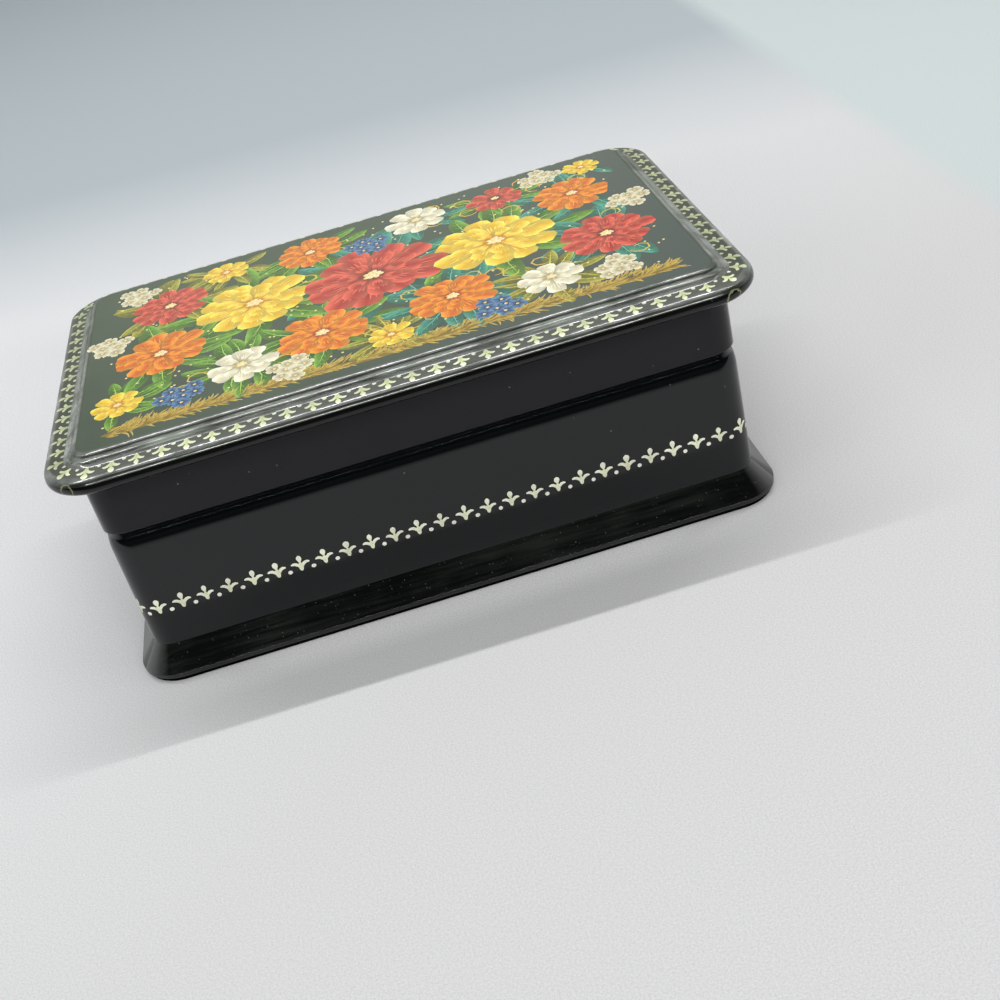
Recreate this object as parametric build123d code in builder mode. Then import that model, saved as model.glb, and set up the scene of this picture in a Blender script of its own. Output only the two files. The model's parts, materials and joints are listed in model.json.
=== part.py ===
from build123d import *
import os
from math import atan2, radians, tan

# A lacquered papier-mache casket with a hinged lid, in millimetres. It rests on z = 0 with its
# length along X and its hinge at the back, on the +Y side. Every outline is the wall's outline,
# grown or shrunk, so the plinth, the walls and the lid keep concentric corners.

# Lid
lid_length = 150.0
lid_width = 98.5
lid_overhang = 6.1
lid_board_thickness = 3.9
nose_radius = 1.85
nose_flat = 0.2
rim_height = 13.5

# Raised panel on the lid: two steps that leave a ledge round them
ledge_width = 5.1
step_height = 1.0
step_depth = 1.6
lower_step_round = 0.8
upper_step_round = 0.8

# Walls
wall_thickness = 4.2
wall_bore_radius = 1.2
body_wall_height = 29.0
shoulder_height = 4.0
shoulder_depth = 0.6
shoulder_round = 10.0
body_arris_radius = 1.4
rim_arris_radius = 0.5
parting_gap = 0.3

# Collar inside the body, which guides the lid
collar_thickness = 1.4
collar_bore_radius = 0.8
collar_rise = 3.0
collar_lead = 0.5
lid_clearance = 0.4
glue_line = 0.05

# Base board
base_height = 7.4
base_overhang = 4.3
base_nose_height = 2.3
base_nose_round = 0.5
foot_bevel = 1.0

# Most of a flat that a rounding beside it may take, and how near a height an edge lies to be level with it
round_limit = 0.9
level_tolerance = 0.01

# Hinge: tubes in troughs at the back of the parting line, with one pin through them
knuckle_count = 5
knuckle_length = 14.0
knuckle_gap = 0.3
knuckle_radius = 1.3
knuckle_cover = 0.3
pin_radius = 0.65
pin_clearance = 0.05
pin_end_chamfer = 0.2
swing_clearance = 0.3
lid_open_angle = 100.0
stop_angle = 4.0

# Sizes and places that follow from those
wall_length = lid_length - 2 * lid_overhang
wall_width = lid_width - 2 * lid_overhang
wall_corner_radius = wall_bore_radius + wall_thickness
body_top = base_height + body_wall_height
rim_bottom = body_top + parting_gap
rim_top = rim_bottom + rim_height
ledge_top = rim_top + lid_board_thickness
nose_fillet = min(nose_radius, (lid_board_thickness - nose_flat) / 2)
lower_fillet = min(lower_step_round, round_limit * step_depth, round_limit * step_height)
upper_fillet = min(upper_step_round, round_limit * step_height)
shoulder_bottom = body_top - shoulder_height
shoulder_tilt = atan2(shoulder_depth, shoulder_height)
shoulder_fillet = min(shoulder_round, round_limit * shoulder_height / 2 / tan(shoulder_tilt / 2))
body_arris_fillet = min(body_arris_radius, round_limit * (wall_thickness - shoulder_depth))
rim_arris_fillet = min(rim_arris_radius, round_limit * (wall_thickness - lid_clearance))
lead_chamfer = min(collar_lead, round_limit * collar_thickness)
base_nose_fillet = min(base_nose_round, round_limit * base_nose_height / 2)
foot_chamfer = min(foot_bevel, round_limit * base_nose_height / 2)
collar_margin = -(wall_thickness + glue_line)
rim_bore_margin = -(wall_thickness - lid_clearance)
panel_margin = lid_overhang - ledge_width

hinge_y = wall_width / 2 - knuckle_radius - knuckle_cover
hinge_z = body_top + parting_gap / 2
hinge_pitch = knuckle_length + knuckle_gap
hinge_length = knuckle_count * hinge_pitch - knuckle_gap
bevel_reach = 2 * (knuckle_radius + knuckle_cover)
bevel_drop = bevel_reach * tan(radians((lid_open_angle + stop_angle) / 2))
knuckle_places = [(i - (knuckle_count - 1) / 2) * hinge_pitch for i in range(knuckle_count)]
body_knuckle_places = knuckle_places[0::2]
lid_knuckle_places = knuckle_places[1::2]


def outline(margin, mode=Mode.ADD):
    """Draws the wall's rounded outline, grown by a margin, in the open sketch."""
    length = wall_length + 2 * margin
    width = wall_width + 2 * margin
    RectangleRounded(length, width, wall_corner_radius + margin, mode=mode)


def edges_at(part, height):
    """The edges of an open part that run level at a height."""
    return part.edges().filter_by_position(Axis.Z, height - level_tolerance, height + level_tolerance)


def cut_troughs(seat_places, swing_places):
    """Cuts close troughs for a wall's own tubes, and wider ones where the other wall's tubes turn."""
    for places, clearance in ((seat_places, glue_line), (swing_places, swing_clearance)):
        with Locations([(x, hinge_y, hinge_z) for x in places]):
            Cylinder(knuckle_radius + clearance, hinge_pitch, rotation=(0, 90, 0), mode=Mode.SUBTRACT)


def bevel_corners(drop):
    """The corners of the back bevel's section: a wedge with its tip on the hinge axis."""
    tip = (hinge_y, hinge_z)
    level = (hinge_y + bevel_reach, hinge_z)
    return tip, level, (hinge_y + bevel_reach, hinge_z + drop)


os.makedirs("parts", exist_ok=True)

# Base board: a low upright nose, then a slope up to the foot of the wall
with BuildPart() as base_board:
    with BuildSketch():
        outline(base_overhang)
    extrude(amount=base_nose_height)
    with BuildSketch(Plane.XY.offset(base_nose_height)):
        outline(base_overhang)
    with BuildSketch(Plane.XY.offset(base_height)):
        outline(0)
    loft(ruled=True)
    fillet(edges_at(base_board, base_nose_height), radius=base_nose_fillet)
    chamfer(base_board.faces().sort_by(Axis.Z)[0].outer_wire().edges(), length=foot_chamfer)
base_board.part.label = "base_board"
export_step(base_board.part, "parts/base_board.step")

# Body wall: a wound ring whose shoulder eases in to a rounded arris, bevelled and troughed at the back
with BuildPart() as body_wall:
    with BuildSketch(Plane.XY.offset(base_height)):
        outline(0)
    extrude(amount=body_wall_height - shoulder_height)
    with BuildSketch(Plane.XY.offset(shoulder_bottom)):
        outline(0)
    with BuildSketch(Plane.XY.offset(body_top)):
        outline(-shoulder_depth)
    loft(ruled=True)
    fillet(edges_at(body_wall, shoulder_bottom), radius=shoulder_fillet)
    fillet(body_wall.faces().sort_by(Axis.Z)[-1].outer_wire().edges(), radius=body_arris_fillet)
    with BuildSketch(Plane.XY.offset(base_height)):
        outline(-wall_thickness)
    extrude(amount=body_wall_height, mode=Mode.SUBTRACT)
    with BuildSketch(Plane.YZ):
        with BuildLine():
            Polyline(*bevel_corners(-bevel_drop), close=True)
        make_face()
    extrude(amount=wall_length, both=True, mode=Mode.SUBTRACT)
    cut_troughs(body_knuckle_places, lid_knuckle_places)
body_wall.part.label = "body_wall"
export_step(body_wall.part, "parts/body_wall.step")

# Collar: a thin liner from the floor to a little above the parting line
with BuildPart() as inner_collar:
    with BuildSketch(Plane.XY.offset(base_height)):
        outline(collar_margin)
        collar_bore_length = wall_length + 2 * (collar_margin - collar_thickness)
        collar_bore_width = wall_width + 2 * (collar_margin - collar_thickness)
        RectangleRounded(collar_bore_length, collar_bore_width, collar_bore_radius, mode=Mode.SUBTRACT)
    extrude(amount=body_wall_height + collar_rise)
    chamfer(inner_collar.faces().sort_by(Axis.Z)[-1].outer_wire().edges(), length=lead_chamfer)
inner_collar.part.label = "inner_collar"
export_step(inner_collar.part, "parts/inner_collar.step")

# Lid rim: a like ring turned over, with a small arris and a bore that clears the collar
with BuildPart() as lid_rim:
    with BuildSketch(Plane.XY.offset(rim_bottom)):
        outline(0)
        outline(rim_bore_margin, mode=Mode.SUBTRACT)
    extrude(amount=rim_height)
    fillet(lid_rim.faces().sort_by(Axis.Z)[0].outer_wire().edges(), radius=rim_arris_fillet)
    with BuildSketch(Plane.YZ):
        with BuildLine():
            Polyline(*bevel_corners(bevel_drop), close=True)
        make_face()
    extrude(amount=wall_length, both=True, mode=Mode.SUBTRACT)
    cut_troughs(lid_knuckle_places, body_knuckle_places)
lid_rim.part.label = "lid_rim"
export_step(lid_rim.part, "parts/lid_rim.step")

# Lid board: a flat board with a rounded nose, overhanging the rim on every side
with BuildPart() as lid_board:
    with BuildSketch(Plane.XY.offset(rim_top)):
        outline(lid_overhang)
    extrude(amount=lid_board_thickness)
    fillet(lid_board.edges().group_by(Axis.Z)[0], radius=nose_fillet)
    fillet(lid_board.edges().group_by(Axis.Z)[-1], radius=nose_fillet)
lid_board.part.label = "lid_board"
export_step(lid_board.part, "parts/lid_board.step")

# Picture panel: two rounded steps, the upper one framing the field
with BuildPart() as picture_panel:
    with BuildSketch(Plane.XY.offset(ledge_top)):
        outline(panel_margin)
    extrude(amount=step_height)
    fillet(picture_panel.edges().group_by(Axis.Z)[-1], radius=lower_fillet)
    with BuildSketch(Plane.XY.offset(ledge_top + step_height)):
        outline(panel_margin - step_depth)
    extrude(amount=step_height)
    fillet(picture_panel.edges().group_by(Axis.Z)[-1], radius=upper_fillet)
picture_panel.part.label = "picture_panel"
export_step(picture_panel.part, "parts/picture_panel.step")

# Hinge tubes: odd ones are glued to the body, even ones to the lid
for number, place in enumerate(knuckle_places, start=1):
    with BuildPart() as knuckle:
        with BuildSketch(Plane.YZ.offset(place - knuckle_length / 2)):
            with Locations((hinge_y, hinge_z)):
                Circle(knuckle_radius)
                Circle(pin_radius + pin_clearance, mode=Mode.SUBTRACT)
        extrude(amount=knuckle_length)
    knuckle.part.label = f"hinge_knuckle_{number}"
    export_step(knuckle.part, f"parts/hinge_knuckle_{number}.step")

# Hinge pin: a wire through all the tubes, flush with the outer ones
with BuildPart() as hinge_pin:
    with BuildSketch(Plane.YZ.offset(-hinge_length / 2)):
        with Locations((hinge_y, hinge_z)):
            Circle(pin_radius)
    extrude(amount=hinge_length)
    chamfer(hinge_pin.edges().filter_by(GeomType.CIRCLE), length=pin_end_chamfer)
hinge_pin.part.label = "hinge_pin"
export_step(hinge_pin.part, "parts/hinge_pin.step")
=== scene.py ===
# %% [markdown]
# # A lacquered casket with a painted lid
# The real casket is wound from layers of paper, pressed in a mould, and coated many times with black
# lacquer that is rubbed down to a mirror. Its lid has a stepped moulding round a painted field, and
# rows of small trefoils run round the lid and the body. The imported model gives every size, and this
# lesson works out finer surfaces inside it.

# %% Load the frame
import json
import bpy
import numpy as np
from mathutils import Matrix, Vector


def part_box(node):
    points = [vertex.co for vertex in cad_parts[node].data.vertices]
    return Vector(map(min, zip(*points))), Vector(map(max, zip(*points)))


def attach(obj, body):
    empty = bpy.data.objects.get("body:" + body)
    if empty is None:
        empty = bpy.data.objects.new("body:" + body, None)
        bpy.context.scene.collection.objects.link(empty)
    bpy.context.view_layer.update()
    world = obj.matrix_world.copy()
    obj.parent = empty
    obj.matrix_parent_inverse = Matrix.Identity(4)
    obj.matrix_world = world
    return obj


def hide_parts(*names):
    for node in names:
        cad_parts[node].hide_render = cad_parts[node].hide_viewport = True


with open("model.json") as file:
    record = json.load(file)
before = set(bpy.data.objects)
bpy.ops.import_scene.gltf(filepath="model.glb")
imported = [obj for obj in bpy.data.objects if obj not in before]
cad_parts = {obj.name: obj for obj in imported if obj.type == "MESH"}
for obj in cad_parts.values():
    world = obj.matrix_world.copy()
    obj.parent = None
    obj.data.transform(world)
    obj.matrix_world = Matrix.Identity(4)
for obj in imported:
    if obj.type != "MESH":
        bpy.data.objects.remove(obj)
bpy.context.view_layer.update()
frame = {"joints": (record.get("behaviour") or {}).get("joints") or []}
MM = 0.001
rng = np.random.default_rng(11)

# %% [markdown]
# ## Where the camera stands
# The camera looks down at the front of the casket and leans to one side, so that the long edges climb
# across the picture. Its place was fitted to the outline, so it is given as an eye point, three
# angles and a lens.

# %% Camera
eye = Vector((-0.561, -292.746, 176.267)) * MM
tilt_down, turn_right, lean = np.radians([32.3081, 2.8878, -15.3451])
lens_mm, sensor_mm = 49.7258, 36.0
casket_middle = Vector((0, 0, 0.03))


def camera_axes(tilt, turn, roll):
    """The view direction is (sin turn cos tilt, cos turn cos tilt, -sin tilt). The level right and up
    axes square to it are then turned about it by the roll."""
    forward = Vector((np.sin(turn) * np.cos(tilt), np.cos(turn) * np.cos(tilt), -np.sin(tilt)))
    level = forward.cross(Vector((0, 0, 1))).normalized()
    right = level * np.cos(roll) + level.cross(forward) * np.sin(roll)
    return Matrix((right, right.cross(forward), -forward)).transposed()


scene = bpy.context.scene
camera_data = bpy.data.cameras.new("camera")
camera_data.lens = lens_mm
camera_data.sensor_width = sensor_mm
camera = bpy.data.objects.new("camera", camera_data)
camera.matrix_world = Matrix.Translation(eye) @ camera_axes(tilt_down, turn_right, lean).to_4x4()
camera_data.clip_start = 0.01
scene.collection.objects.link(camera)
scene.camera = camera
scene.view_settings.view_transform = "Standard"
print("camera", round((camera.location - casket_middle).length, 3), "m from the casket")

# %% [markdown]
# ## Small tools for materials
# A material is a web of nodes. A few helpers keep the webs readable: they add a node with its settings,
# numbers and links in one line, in the web that a link belongs to, and they start, end and use node
# groups. An effect that several finishes share is built once as a group, which takes a place and some
# amounts and gives one number.

# %% Node helpers


def fill(node, inputs):
    """Fills inputs of a node, each with a number, a colour or a link."""
    for key, value in inputs.items():
        if isinstance(value, bpy.types.NodeSocket):
            node.id_data.links.new(value, node.inputs[key])
        else:
            node.inputs[key].default_value = value


def add(tree, kind, inputs=None, **settings):
    """Adds a shader node, sets its properties and fills its inputs."""
    node = tree.nodes.new("ShaderNode" + kind)
    for key, value in settings.items():
        setattr(node, key, value)
    fill(node, inputs or {})
    return node


def new_group(name, **amounts):
    """Starts a node group that takes a place and some amounts, given with their usual values."""
    group = bpy.data.node_groups.new(name, "ShaderNodeTree")
    for label, value in {"Vector": (0.0, 0.0, 0.0), **amounts}.items():
        kind = "NodeSocketVector" if isinstance(value, tuple) else "NodeSocketFloat"
        group.interface.new_socket(label, in_out="INPUT", socket_type=kind).default_value = value
    group.interface.new_socket("Result", in_out="OUTPUT", socket_type="NodeSocketFloat")
    return group, group.nodes.new("NodeGroupInput").outputs


def give(result):
    """Ends the node group that a link belongs to, with that link as its result."""
    group = result.id_data
    group.links.new(result, group.nodes.new("NodeGroupOutput").inputs[0])


def use_group(group, place, **amounts):
    """The result of a group at a place, with the amounts of one finish."""
    node = place.id_data.nodes.new("ShaderNodeGroup")
    node.node_tree = group
    fill(node, {"Vector": place, **amounts})
    return node.outputs[0]


def new_material(name):
    """A node material with its Principled shader and its Object coordinates."""
    material = bpy.data.materials.new(name)
    material.use_nodes = True
    tree = material.node_tree
    return material, tree, tree.nodes["Principled BSDF"], add(tree, "TexCoord").outputs["Object"]


def mix(share, first, second):
    """Mixes two colours by a share, which is a link."""
    return add(share.id_data, "Mix", {0: share, 6: first, 7: second}, data_type="RGBA").outputs[2]


def calc(operation, *values):
    """One step of arithmetic on numbers and links."""
    tree = next(value.id_data for value in values if isinstance(value, bpy.types.NodeSocket))
    return add(tree, "Math", dict(enumerate(values)), operation=operation).outputs[0]


def ramp(value, start, end, first=0.0, last=1.0):
    """Goes from first to last while the value goes from start to end, and stays there beyond them."""
    inputs = {"Value": value, 1: start, 2: end, 3: first, 4: last}
    return add(value.id_data, "MapRange", inputs).outputs[0]


def noise(place, scale, detail):
    """Soft noise from 0 to 1, with about so many swells in a metre."""
    inputs = {"Vector": place, "Scale": scale, "Detail": detail}
    return add(place.id_data, "TexNoise", inputs).outputs["Fac"]


def bumped(height, depth, strength=1.0):
    """A surface's direction when its height of 0 to 1 stands for a depth in millimetres."""
    inputs = {"Strength": strength, "Distance": depth * MM, "Height": height}
    return add(height.id_data, "Bump", inputs).outputs[0]


def srgb(red, green, blue):
    """A screen colour from 0 to 255 as the linear numbers that shaders use."""
    share = np.array([red, green, blue]) / 255
    return np.where(share <= 0.04045, share / 12.92, ((share + 0.055) / 1.055) ** 2.4)


def rgba(red, green, blue):
    """The same colour with an alpha of one, for a socket."""
    return (*srgb(red, green, blue), 1.0)


print("helpers ready")

# %% [markdown]
# ## The card
# The casket stands on a large sheet of pale card, and light and shade are painted into its colour. It is
# painted lighter towards the back left and painted in a darker, cooler shade far behind. It turns cooler
# past a line to its right, and it is painted lighter along the foot, a painted pool of the light that
# the plinth throws back. Each change of tone is a ramp between two places, in metres. Glossy rays see
# the card painted dark beyond a line in front, a painted dark reflection that keeps the sloping base
# and the nose black.

# %% Card
card, tree, shader, place = new_material("pale_card")
apart = add(tree, "SeparateXYZ", {"Vector": place}).outputs
rightward, backward = apart["X"], apart["Y"]
# Painted light: the card's colour is made lighter towards the back left.
painted_light_left_back = ramp(calc("MULTIPLY_ADD", rightward, -0.69, backward), -0.076, 0.165)
# Painted shade: the card's colour is made darker and cooler far behind.
painted_shade_far_behind = ramp(calc("MULTIPLY_ADD", rightward, 0.1, backward), 0.18, 0.325)
past_card = ramp(rightward, 0.174, 0.185)
at_foot = ramp(backward, -0.058, -0.0515)
ahead = ramp(backward, -0.042, -0.046)
along_middle = ramp(calc("ABSOLUTE", rightward), 0.068, 0.04)
# Painted light: a pool of the light that the plinth throws back, painted into the card along its foot.
painted_bounce_light = calc("MULTIPLY", calc("MULTIPLY", at_foot, ahead), along_middle)
tone = mix(painted_light_left_back, rgba(216, 217, 217), rgba(231, 233, 236))
tone = mix(painted_bounce_light, tone, rgba(240, 241, 241))
tone = mix(painted_shade_far_behind, tone, rgba(178, 191, 198))
tone = mix(past_card, tone, rgba(208, 221, 221))
fibre = noise(place, 2400.0, 3.0)
grain = noise(place, 5000.0, 2.0)
uneven = ramp(calc("ADD", fibre, grain), 0.75, 1.25)
flecked = mix(calc("MULTIPLY", uneven, 0.5), tone, rgba(172, 173, 175))
# Painted reflection: glossy rays see the card painted dark beyond a line in front, which keeps the sloping
# base and the nose black.
dark_mirror_share = ramp(backward, -0.118, -0.17)
painted_dark_reflection = calc("MULTIPLY", add(tree, "LightPath").outputs["Is Glossy Ray"], dark_mirror_share)
card_finish = {
    "Base Color": mix(painted_dark_reflection, flecked, rgba(20, 20, 20)),
    "Roughness": 0.9,
    "Specular IOR Level": 0.1,
    "Normal": bumped(fibre, 0.05, 0.25),
}
fill(shader, card_finish)

sheet_reach = 6.0
sheet_signs = ((-1, -1), (1, -1), (1, 1), (-1, 1))
sheet_corners = [(sx * sheet_reach, sy * sheet_reach, 0) for sx, sy in sheet_signs]
sheet_mesh = bpy.data.meshes.new("card_sheet")
sheet_mesh.from_pydata(sheet_corners, [], [(0, 1, 2, 3)])
sheet_mesh.materials.append(card)
card_sheet = bpy.data.objects.new("card_sheet", sheet_mesh)
scene.collection.objects.link(card_sheet)
print("card", 2 * sheet_reach, "m wide")

# %% [markdown]
# ## Lights
# A long tube above and a little behind draws the bright lines along the mouldings and throws the crisp
# shadow to the front. A wide window in front lights the painted signs on the wall. A soft box and two
# side panels fill in.

# %% Lights


def area_light(name, place, size, radiance, colour, mirrored=True):
    """A flat light that faces the casket. Its power is radiance times pi times its area. One that only
    fills in isn't mirrored in the lacquer."""
    data = bpy.data.lights.new(name, "AREA")
    data.shape = "RECTANGLE"
    data.size, data.size_y = size
    data.energy = radiance * np.pi * size[0] * size[1]
    data.color = colour
    lamp = bpy.data.objects.new(name, data)
    lamp.location = place
    lamp.rotation_euler = (casket_middle - Vector(place)).to_track_quat("-Z", "Y").to_euler()
    lamp.visible_camera = False
    lamp.visible_glossy = mirrored
    scene.collection.objects.link(lamp)


area_light("tube_above", (0.0, 0.372, 1.25), (1.7, 0.024), 80.0, (1.0, 0.99, 0.98))
area_light("window_in_front", (0.0, -1.8, 0.85), (2.4, 0.1), 38.0, (1.0, 1.0, 0.99))
area_light("panel_left", (-1.6, -0.6, 0.9), (1.0, 1.0), 1.6, (0.98, 1.0, 1.0), False)
area_light("panel_right", (1.6, -0.6, 0.9), (1.0, 1.0), 1.2, (1.0, 1.0, 1.0), False)
area_light("box_overhead", (0.0, -0.5, 1.6), (1.6, 0.8), 0.7, (1.0, 1.0, 1.0), False)

# %% [markdown]
# ## The room
# The room behind has a greenish wall with dim corners, white sides and a bright ceiling. Only the
# camera and glossy surfaces see it, so it hazes the lid without washing out the shadow. The room in
# front is dark.

# %% Room
world = bpy.data.worlds.new("white_room")
world.use_nodes = True
tree = world.node_tree
toward = add(tree, "SeparateXYZ", {"Vector": add(tree, "TexCoord").outputs["Generated"]}).outputs
sideways = calc("ABSOLUTE", toward["X"])
back_wall = mix(ramp(sideways, 0.12, 0.3), (0.72, 0.79, 0.64, 1.0), (0.45, 0.5, 0.4, 1.0))
walls = mix(ramp(sideways, 0.34, 0.5), back_wall, (1.4, 1.45, 1.4, 1.0))
wall_and_ceiling = mix(ramp(toward["Z"], 0.42, 0.92), walls, (3.0, 3.05, 3.0, 1.0))
room = mix(ramp(toward["Y"], -0.45, 0.15), (0.015, 0.015, 0.015, 1.0), wall_and_ceiling)
light_path = add(tree, "LightPath").outputs
seen = calc("MAXIMUM", light_path["Is Camera Ray"], light_path["Is Glossy Ray"])
fill(tree.nodes["Background"], {"Color": mix(seen, (0.235, 0.235, 0.235, 1.0), room)})
scene.world = world
print("room", len(tree.nodes), "nodes")

# %% [markdown]
# ## Effects that the finishes share
# Hand-rubbed lacquer is never quite flat, so reflections waver. Dust settles on it as specks, and as a
# streaky film in the hollows, cloths leave hairlines, raised arrises lose their colour first, and a flake
# that was knocked off leaves a pale rim. Each of these is a group that gives one height or mask.

# %% Shared effects
flow, given = new_group("lacquer_flow", Waves=260.0, Ripple=0.1)
slow_wave = noise(given["Vector"], given["Waves"], 0.0)
fine_wave = noise(given["Vector"], 1500.0, 0.0)
give(calc("ADD", slow_wave, calc("MULTIPLY", fine_wave, given["Ripple"])))

dust, given = new_group("settled_dust", Specks=700.0, Cover=0.2)
cells = add(dust, "TexVoronoi", {"Vector": given["Vector"], "Scale": given["Specks"]}).outputs
chance = add(dust, "SeparateColor", {"Color": cells["Color"]}).outputs
speck_size = calc("MULTIPLY_ADD", chance["Green"], 0.16, 0.06)
speck = ramp(cells["Distance"], speck_size, 0.0)
landed = calc("LESS_THAN", chance["Red"], given["Cover"])
give(calc("MULTIPLY", speck, landed))

hairlines, given = new_group("rubbed_hairlines", Amount=0.3)
drawn_out = {"Vector": given["Vector"], "Rotation": (0.3, 0.5, 0.7), "Scale": (60.0, 2600.0, 2600.0)}
streak = noise(add(hairlines, "Mapping", drawn_out).outputs[0], 1.0, 0.0)
give(calc("MULTIPLY", ramp(streak, 0.66, 0.78), given["Amount"]))

wear, given = new_group("arris_wear", Arris=0.0, Amount=0.3)
exposed = calc("MULTIPLY", noise(given["Vector"], 620.0, 3.0), given["Arris"])
least = calc("SUBTRACT", 0.86, calc("MULTIPLY", given["Amount"], 0.3))
give(ramp(exposed, least, calc("ADD", least, 0.05)))

film, given = new_group("wiped_film", Amount=0.1, Hollow=0.0)
wiped = add(film, "Mapping", {"Vector": given["Vector"], "Scale": (70.0, 1400.0, 1400.0)}).outputs[0]
streaks = noise(wiped, 1.0, 4.0)
patches = noise(given["Vector"], 60.0, 3.0)
left_behind = ramp(calc("MULTIPLY", streaks, patches), 0.2, 0.42)
held = calc("MAXIMUM", given["Amount"], given["Hollow"])
give(calc("MULTIPLY", left_behind, held))

flake, given = new_group("flake_rim", Place=(0.0, 0.0, 0.0), Reach=0.002)
ends = {0: given["Vector"], 1: given["Place"]}
away = add(flake, "VectorMath", ends, operation="DISTANCE").outputs["Value"]
crumbs = noise(given["Vector"], 1300.0, 3.0)
ragged = calc("MULTIPLY_ADD", crumbs, 0.5, calc("DIVIDE", away, given["Reach"]))
from_rim = calc("ABSOLUTE", calc("SUBTRACT", ragged, 1.25))
give(ramp(from_rim, 0.13, 0.04, 0.0, 0.6))
print("groups", [g.name for g in (flow, dust, hairlines, wear, film, flake)])

# %% [markdown]
# ## Lacquer
# Lacquer is a dark colour under a clear, hard gloss. One function makes every lacquer on the casket,
# because they differ only in colour, dust, wear and how flat they were rubbed. The colour drifts a
# little between two tones, and dust and worn arrises are rougher than the rest. The lid was polished
# by hand, patch by patch: its own gloss is soft, and a clear coat that comes and goes breaks its
# bright lines into dashes. The bevel of the foot is dull, so it stays a black line on the card.

# %% Lacquer materials
worn_paper = rgba(142, 144, 112)
dust_grey = rgba(150, 160, 148)


def lacquer(
    name, deep, pale, gloss=0.05, level=0.5, coat=0.0, dusty=0.03, specks=700.0, filmy=0.0, worn=0.25,
    wave=0.02, waves=240.0, ripple=0.02, right_tone_and_sheen=None, flakes=(),
):
    """A gloss coat over two close tones, with wavering reflections, dust, hairlines and worn arrises.
    The arris attribute is above 0 on arrises and below 0 in hollows, which hold dust. A clear coat, if
    there is one, is even on level ground and patchy where the slope attribute is 1. A right tone, partly
    the ground's own colour and partly a painted sheen, takes over from left to right along X. A flake is a
    place and a reach where one left a pale rim."""
    material, tree, shader, place = new_material(name)
    arris = add(tree, "Attribute", attribute_name="arris").outputs["Fac"]
    raised = calc("MAXIMUM", arris, 0.0)
    hollow = calc("MULTIPLY", arris, -1.0)
    specked = use_group(dust, place, Specks=specks, Cover=dusty)
    filmed = use_group(film, place, Amount=filmy, Hollow=hollow)
    rubbed = use_group(hairlines, place)
    bare = use_group(wear, place, Arris=raised, Amount=worn)
    for where, reach in flakes:
        rim = use_group(flake, place, Place=where, Reach=reach)
        bare = calc("MAXIMUM", bare, rim)
    toned = mix(noise(place, 55.0, 3.0), deep, pale)
    if right_tone_and_sheen:
        across = add(tree, "SeparateXYZ", {"Vector": place}).outputs["X"]
        toned = mix(ramp(across, -0.01, 0.06), toned, right_tone_and_sheen)
    settled = calc("MAXIMUM", calc("MULTIPLY", specked, 0.45), filmed)
    dulled = calc("MULTIPLY", calc("MAXIMUM", settled, bare), 0.6)
    hazed = calc("MULTIPLY_ADD", rubbed, 0.12, gloss)
    height = use_group(flow, place, Waves=waves, Ripple=ripple)
    normal = bumped(height, wave)
    coating = {
        "Base Color": mix(bare, mix(settled, toned, dust_grey), worn_paper),
        "Roughness": calc("ADD", hazed, dulled),
        "Specular IOR Level": level,
        "Normal": normal,
    }
    if coat:
        slope = add(tree, "Attribute", attribute_name="slope").outputs["Fac"]
        missed = ramp(noise(place, 170.0, 2.0), 0.38, 0.58, 0.85, 0.0)
        dim = ramp(noise(place, 1500.0, 1.0), 0.38, 0.56, 0.5, 0.0)
        lost = calc("MULTIPLY", slope, calc("MAXIMUM", missed, dim))
        whole = calc("MULTIPLY_ADD", slope, 1.0 - coat, coat)
        clear = calc("MULTIPLY", calc("SUBTRACT", 1.0, lost), whole)
        coating |= {"Coat Weight": clear, "Coat Normal": normal, "Coat Roughness": 0.04}
    fill(shader, coating)
    return material


corner_flakes = (((-0.0698, -0.0474, 0.0519), 0.0014), ((0.0682, -0.049, 0.0511), 0.0019))
lid_finish = {"wave": 0.1, "waves": 150.0, "flakes": corner_flakes}
lid_coat = {"gloss": 0.3, "level": 0.2, "coat": 0.62, "dusty": 0.06, "ripple": 0.003}
base_dust = {"dusty": 0.4, "specks": 1500.0, "filmy": 0.03, "worn": 0.05}
# The field's ground turns lighter to the right: partly its own tone, partly a painted sheen of the room.
field_finish = {"dusty": 0.05, "wave": 0.03, "waves": 150.0, "right_tone_and_sheen": rgba(67, 76, 76)}
black_lacquer = lacquer("black_lacquer", rgba(2, 4, 5), rgba(5, 8, 9), dusty=0.02, level=0.46)
rim_lacquer = lacquer("rim_lacquer", rgba(9, 9, 12), rgba(15, 15, 19), dusty=0.02, level=0.3)
# Painted shade: a darker copy of the lid's lacquer for the lower nose, which hangs in shadow.
shaded_nose_lacquer = lacquer("shaded_nose_lacquer", rgba(5, 6, 5), rgba(11, 13, 11), level=0.4, **lid_finish)
base_lacquer = lacquer("base_lacquer", rgba(6, 8, 7), rgba(11, 14, 12), **base_dust)
lid_lacquer = lacquer("lid_lacquer", rgba(20, 25, 19), rgba(34, 41, 31), **lid_finish, **lid_coat)
picture_ground = lacquer("picture_ground", rgba(44, 58, 50), rgba(68, 82, 68), **field_finish)
dull_foot = lacquer("dull_foot", rgba(4, 4, 4), rgba(7, 7, 7), gloss=0.7, level=0.0)
red_lacquer = lacquer("red_lacquer", rgba(128, 16, 12), rgba(160, 26, 18), dusty=0.05, worn=0.1)
print("lacquers", [m.name for m in bpy.data.materials])

# %% [markdown]
# ## Sections and outlines
# Every moulding on the casket is one section carried round the same rounded rectangle. Square
# sections are a few corners in the plane of margin and height, each turned by an arc. Soft mouldings,
# which lacquer rounds over, are a walk outwards and down: each leg turns the slope by an arc or goes
# straight on. An outline is the wall's rectangle grown by the margin. A modifier could bevel a block,
# but a carried section gives exact arcs and lets each ring remember how exposed it is.

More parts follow.
